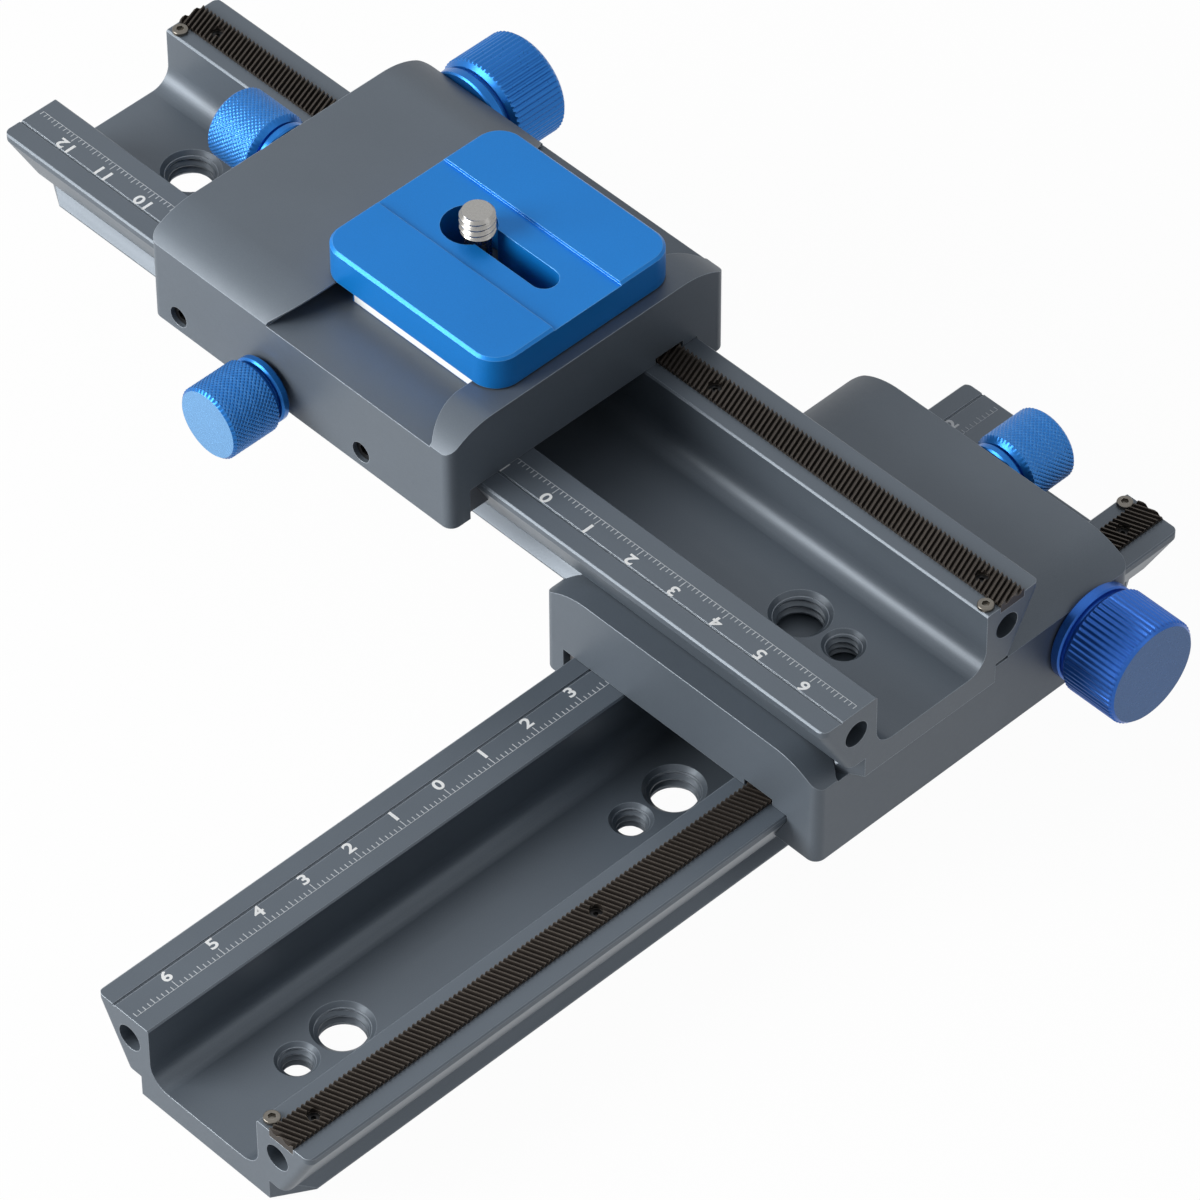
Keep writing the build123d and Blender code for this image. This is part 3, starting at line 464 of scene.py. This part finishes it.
# the plate's middle in the upper unit's mm, and the screw in its slot
plateCentre = np.array([nearFace["upper"] - 23.85, 1.8, 10.02])
cameraScrew = dict(thread=3.175, root=2.62, pitch=1.27, neck=2.4, head=4.3, headBottom=0.55, headTop=2.6,
                   headBevel=0.3, headEdge=0.2, threadStart=10.5, runIn=0.3, grooveFrom=0.25, top=15.1,
                   endChamfer=0.55, middle=0.05, grooveWide=1.15, grooveSteep=1.3, around=72, slotWidth=1.2,
                   slotDepth=1.0, plainStep=0.4, threadStep=0.1, along=-4.8, crease=40)


def screwShape(s):
    # radius(height, angle) = turned outline less a helical groove on the upper part; the head's
    # underside is raised inside a straight slot
    outline = [
        (s["middle"], s["headBottom"]), (s["head"] - s["headBevel"], s["headBottom"]),
        (s["head"], s["headBottom"] + s["headBevel"]), (s["head"], s["headTop"] - s["headEdge"]),
        (s["head"] - s["headEdge"], s["headTop"]), (s["neck"], s["headTop"]), (s["neck"], s["threadStart"]),
        (s["thread"], s["threadStart"] + s["runIn"]), (s["thread"], s["top"] - s["endChamfer"]),
        (s["thread"] - s["endChamfer"], s["top"]), (s["middle"], s["top"]),
    ]
    profile = sampleProfile(outline, [s["plainStep"]] * 6 + [s["threadStep"]] * 3 + [s["plainStep"]])
    count = s["around"]
    angle = np.arange(count) * fullTurn / count
    outer, z = profile[:, :1], profile[:, 1:]
    groove = np.clip(s["grooveWide"] - zigzag(z / s["pitch"] - angle / fullTurn) * s["grooveSteep"], 0, 1)
    cut = groove * (s["thread"] - s["root"])
    threaded = (z > s["threadStart"] + s["grooveFrom"]) * (outer > s["root"])
    radius = np.where(threaded, np.minimum(outer, s["thread"] - cut), outer + 0 * cut)
    x, y = radius * np.cos(angle), radius * np.sin(angle)
    height = z + 0 * radius
    inSlot = (np.abs(y) < s["slotWidth"] / 2) & (height <= s["headBottom"] + s["headBevel"] + hair)
    points = np.stack([x, y, np.where(inSlot, s["headBottom"] + s["slotDepth"], height)], -1)
    rings = len(profile)
    middles = np.array([[0, 0, s["headBottom"] + s["slotDepth"]], [0, 0, s["top"]]])
    flat = np.concatenate([points.reshape(-1, 3), middles])
    return flat, cornerLists([tubeFaces(rings, count), fanFaces(0, count, rings * count, True),
                              fanFaces((rings - 1) * count, count, rings * count + 1)])


flat, faces = screwShape(cameraScrew)
screwSeat = plateCentre + np.array([cameraScrew["along"], 0, 0])
screw = newObject("cameraScrewTurned", toRow("upper", flat + screwSeat), faces)
facesOutward(screw)
sharpen(screw, cameraScrew["crease"])
screw.data.materials.append(finishes["brightScrew"])
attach(screw, "camera_screw")
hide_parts("camera_screw")
print("camera screw made")


def bars(lowX, highX, lowY, highY, top, bottom):
    # one flat box for each entry of the four edge arrays
    n = len(lowX)
    x = np.stack([lowX, highX, highX, lowX] * 2, -1)
    y = np.stack([lowY, lowY, highY, highY] * 2, -1)
    z = np.broadcast_to(np.array([bottom] * 4 + [top] * 4), (n, 8))
    points = np.stack([x, y, z], -1).reshape(-1, 3)
    box = np.array([[0, 3, 2, 1], [4, 5, 6, 7], [0, 1, 5, 4], [1, 2, 6, 5], [2, 3, 7, 6], [3, 0, 4, 7]])
    return points, (box[None] + 8 * np.arange(n)[:, None, None]).reshape(-1, 4)


# a painted reflection: a thin white bar on the front of the plate's foot, where its end face catches the light, in mm
# from the plate's middle
footGlint = dict(halfLength=14.7, front=-19.24, back=-19.15, bottom=0.15, top=3.9)
glintPoints, glintFaces = bars([-footGlint["halfLength"]], [footGlint["halfLength"]], [footGlint["front"]],
                               [footGlint["back"]], footGlint["top"], footGlint["bottom"])
footGlintBar = newObject("plateFootGlint", toRow("upper", glintPoints + plateCentre), glintFaces.tolist(), False)
footGlintBar.data.materials.append(finishes["scaleWhite"])
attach(footGlintBar, "camera_plate")


# marks in mm along the rail; their base line and the digits' far edge in mm across it
scale = dict(first=-129, last=69, firstDigit=-120, lastDigit=60, baseLine=-16.6, lineWidth=0.08, tick=0.85,
             halfTick=1.2, wholeTick=1.6, tickWidth=0.15, rise=0.015, sunk=-0.05, digitHeight=2.3, digitTop=-20.8,
             bold=0.075, wide=1.22, spacing=1.12, fontSize=3.0, fontDepth=0.02, fontSteps=6)


def digitMesh(text, s):
    # built-in lettering made a mesh, centred, its lower edge at zero
    curve = bpy.data.curves.new("digit", "FONT")
    curve.body = text
    curve.size = s["fontSize"]
    curve.offset = s["bold"]
    curve.space_character = s["spacing"]
    curve.extrude = s["fontDepth"]
    curve.resolution_u = s["fontSteps"]
    item = bpy.data.objects.new("digit", curve)
    bpy.context.scene.collection.objects.link(item)
    bpy.context.view_layer.update()
    mesh = bpy.data.meshes.new_from_object(item.evaluated_get(bpy.context.evaluated_depsgraph_get()))
    bpy.data.objects.remove(item)
    co = np.zeros(len(mesh.vertices) * 3, np.float32)
    mesh.vertices.foreach_get("co", co)
    co = co.reshape(-1, 3).astype(float)
    faces = [list(p.vertices) for p in mesh.polygons]
    bpy.data.meshes.remove(mesh)
    low, high = co.min(0), co.max(0)
    co[:, 0] -= (low[0] + high[0]) / 2
    co[:, :2] *= s["digitHeight"] / (high[1] - low[1])
    co[:, 0] *= s["wide"]
    co[:, 1] -= co[:, 1].min()
    co[:, 2] = np.where(co[:, 2] > 0, s["rise"], s["sunk"])
    return co, faces


def scaleTicks(s):
    # one bar a millimetre, longer at every fifth and tenth, and one long bar for the base line
    marks = np.arange(s["first"], s["last"] + 1)
    length = np.where(marks % 10 == 0, s["wholeTick"], np.where(marks % 5 == 0, s["halfTick"], s["tick"]))
    half = s["tickWidth"] / 2
    base = np.full(len(marks), s["baseLine"])
    lowX, highX = np.append(marks - half, s["first"] - half), np.append(marks + half, s["last"] + half)
    lowY, highY = np.append(base - length, base[0]), np.append(base, base[0] + s["lineWidth"])
    return bars(lowX, highX, lowY, highY, s["rise"], s["sunk"])


tickPoints, tickFaces = scaleTicks(scale)
digitParts = [digitMesh(str(k), scale) for k in range(-scale["firstDigit"] // 10 + 1)]
for unit in units:
    ticks = newObject(unit + "ScaleTicks", toRow(unit, tickPoints), tickFaces.tolist(), False)
    ticks.data.materials.append(finishes["tickWhite"])
    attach(ticks, unit + "_rail")
    points, faces, offset = [], [], 0
    for at in range(scale["firstDigit"], scale["lastDigit"] + 1, 10):
        co, corners = digitParts[abs(at) // 10]
        # their tops point away from the rack
        points.append(np.stack([at - co[:, 0], scale["digitTop"] + scale["digitHeight"] - co[:, 1], co[:, 2]], -1))
        faces.extend((np.array(face) + offset).tolist() for face in corners)
        offset += len(co)
    digits = newObject(unit + "ScaleDigits", toRow(unit, np.concatenate(points)), faces, False)
    facesOutward(digits)
    digits.data.materials.append(finishes["scaleWhite"])
    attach(digits, unit + "_rail")
print("scales made")


studio = dict(floorSize=6.0, floorDrop=0.0004, floorTint=(0.78, 0.78, 0.78), shadowShare=0.03,
              worldColor=(0.84, 0.87, 0.92), worldStrength=0.22)


def whiteWhereSeen(tree, plain, white, whiteShare, surface):
    # camera, glossy and transmitted rays get this share of the white, and diffuse light the plain shader
    path = tree.nodes.new("ShaderNodeLightPath")
    seen = path.outputs["Is Camera Ray"]
    for ray in ("Is Glossy Ray", "Is Transmission Ray"):
        either = tree.nodes.new("ShaderNodeMath")
        either.operation = "MAXIMUM"
        tree.links.new(seen, either.inputs[0])
        tree.links.new(path.outputs[ray], either.inputs[1])
        seen = either.outputs[0]
    share = tree.nodes.new("ShaderNodeMath")
    share.operation = "MULTIPLY"
    share.inputs[1].default_value = whiteShare
    tree.links.new(seen, share.inputs[0])
    mix = tree.nodes.new("ShaderNodeMixShader")
    tree.links.new(share.outputs[0], mix.inputs[0])
    tree.links.new(plain.outputs[0], mix.inputs[1])
    tree.links.new(white.outputs[0], mix.inputs[2])
    tree.links.new(mix.outputs[0], surface)


def glow(tree, nodeType, colour, strength):
    node = tree.nodes.new(nodeType)
    node.inputs["Color"].default_value = (*colour, 1)
    node.inputs["Strength"].default_value = strength
    return node


floorPoints = np.array([[-1, -1, 0], [1, -1, 0], [1, 1, 0], [-1, 1, 0]]) * studio["floorSize"] / 2
floorPoints[:, 2] = -studio["floorDrop"]
floor = newObject("floor", floorPoints, [[0, 1, 2, 3]], False)
floorMat = bpy.data.materials.new("paleFloor")
floorMat.use_nodes = True
tree = floorMat.node_tree
tree.nodes.clear()
matte = tree.nodes.new("ShaderNodeBsdfDiffuse")
matte.inputs["Color"].default_value = (*studio["floorTint"], 1)
out = tree.nodes.new("ShaderNodeOutputMaterial")
# the small share of matte that the camera sees holds the object's shadow
whiteWhereSeen(tree, matte, glow(tree, "ShaderNodeEmission", (1, 1, 1), 1.0), 1 - studio["shadowShare"],
               out.inputs["Surface"])
floor.data.materials.append(floorMat)

world = bpy.data.worlds.new("studio")
bpy.context.scene.world = world
world.use_nodes = True
tree = world.node_tree
tree.nodes.clear()
ambient = glow(tree, "ShaderNodeBackground", studio["worldColor"], studio["worldStrength"])
out = tree.nodes.new("ShaderNodeOutputWorld")
whiteWhereSeen(tree, ambient, glow(tree, "ShaderNodeBackground", (1, 1, 1), 1.0), 1.0, out.inputs["Surface"])


def standFacing(item, target, distance, azimuth, elevation, roll=0.0):
    # stands a lamp or camera this far from the target and turns it to look there;
    # azimuth 0 looks along +Y, 90 along -X
    a, e, r = (math.radians(degrees) for degrees in (azimuth, elevation, roll))
    back = np.array([math.sin(a) * math.cos(e), -math.cos(a) * math.cos(e), math.sin(e)])
    right = np.array([math.cos(a), math.sin(a), 0])
    up = np.cross(back, right)
    right, up = math.cos(r) * right + math.sin(r) * up, math.cos(r) * up - math.sin(r) * right
    place = Matrix(np.stack([right, up, back], -1).tolist()).to_4x4()
    place.translation = np.array(target) + back * distance
    item.matrix_world = place
    bpy.context.scene.collection.objects.link(item)


lampTarget = (-0.025, 0.0, 0.035)
lamps = {
    "frontLamp": dict(azimuth=328, elevation=24, distance=1.3, size=0.8, power=25.0, colour=(1.0, 0.99, 0.97)),
    "topLamp": dict(azimuth=235, elevation=66, distance=1.2, size=1.0, power=1.2, colour=(0.96, 0.98, 1.0)),
    "rimLamp": dict(azimuth=110, elevation=30, distance=1.3, size=0.6, power=0.8, colour=(1.0, 1.0, 1.0)),
}
for name, lamp in lamps.items():
    light = bpy.data.lights.new(name, "AREA")
    light.size = lamp["size"]
    light.energy = lamp["power"]
    light.color = lamp["colour"]
    standFacing(bpy.data.objects.new(name, light), lampTarget, lamp["distance"], lamp["azimuth"], lamp["elevation"])

# focal is the focal length in pixels of a frame this many pixels wide
view = dict(azimuth=46.107, elevation=45.849, roll=-0.267, distance=1.29088, target=(-0.012581, -0.004774, 0.04402),
            focal=7919.13, frameWidth=1200, sensor=36.0)
lens = bpy.data.cameras.new("camera")
lens.sensor_width = view["sensor"]
lens.lens = view["focal"] * view["sensor"] / view["frameWidth"]
camera = bpy.data.objects.new("camera", lens)
standFacing(camera, view["target"], view["distance"], view["azimuth"], view["elevation"], view["roll"])
bpy.context.scene.camera = camera
bpy.context.scene.view_settings.view_transform = "Standard"
print("studio made")

bpy.context.view_layer.update()
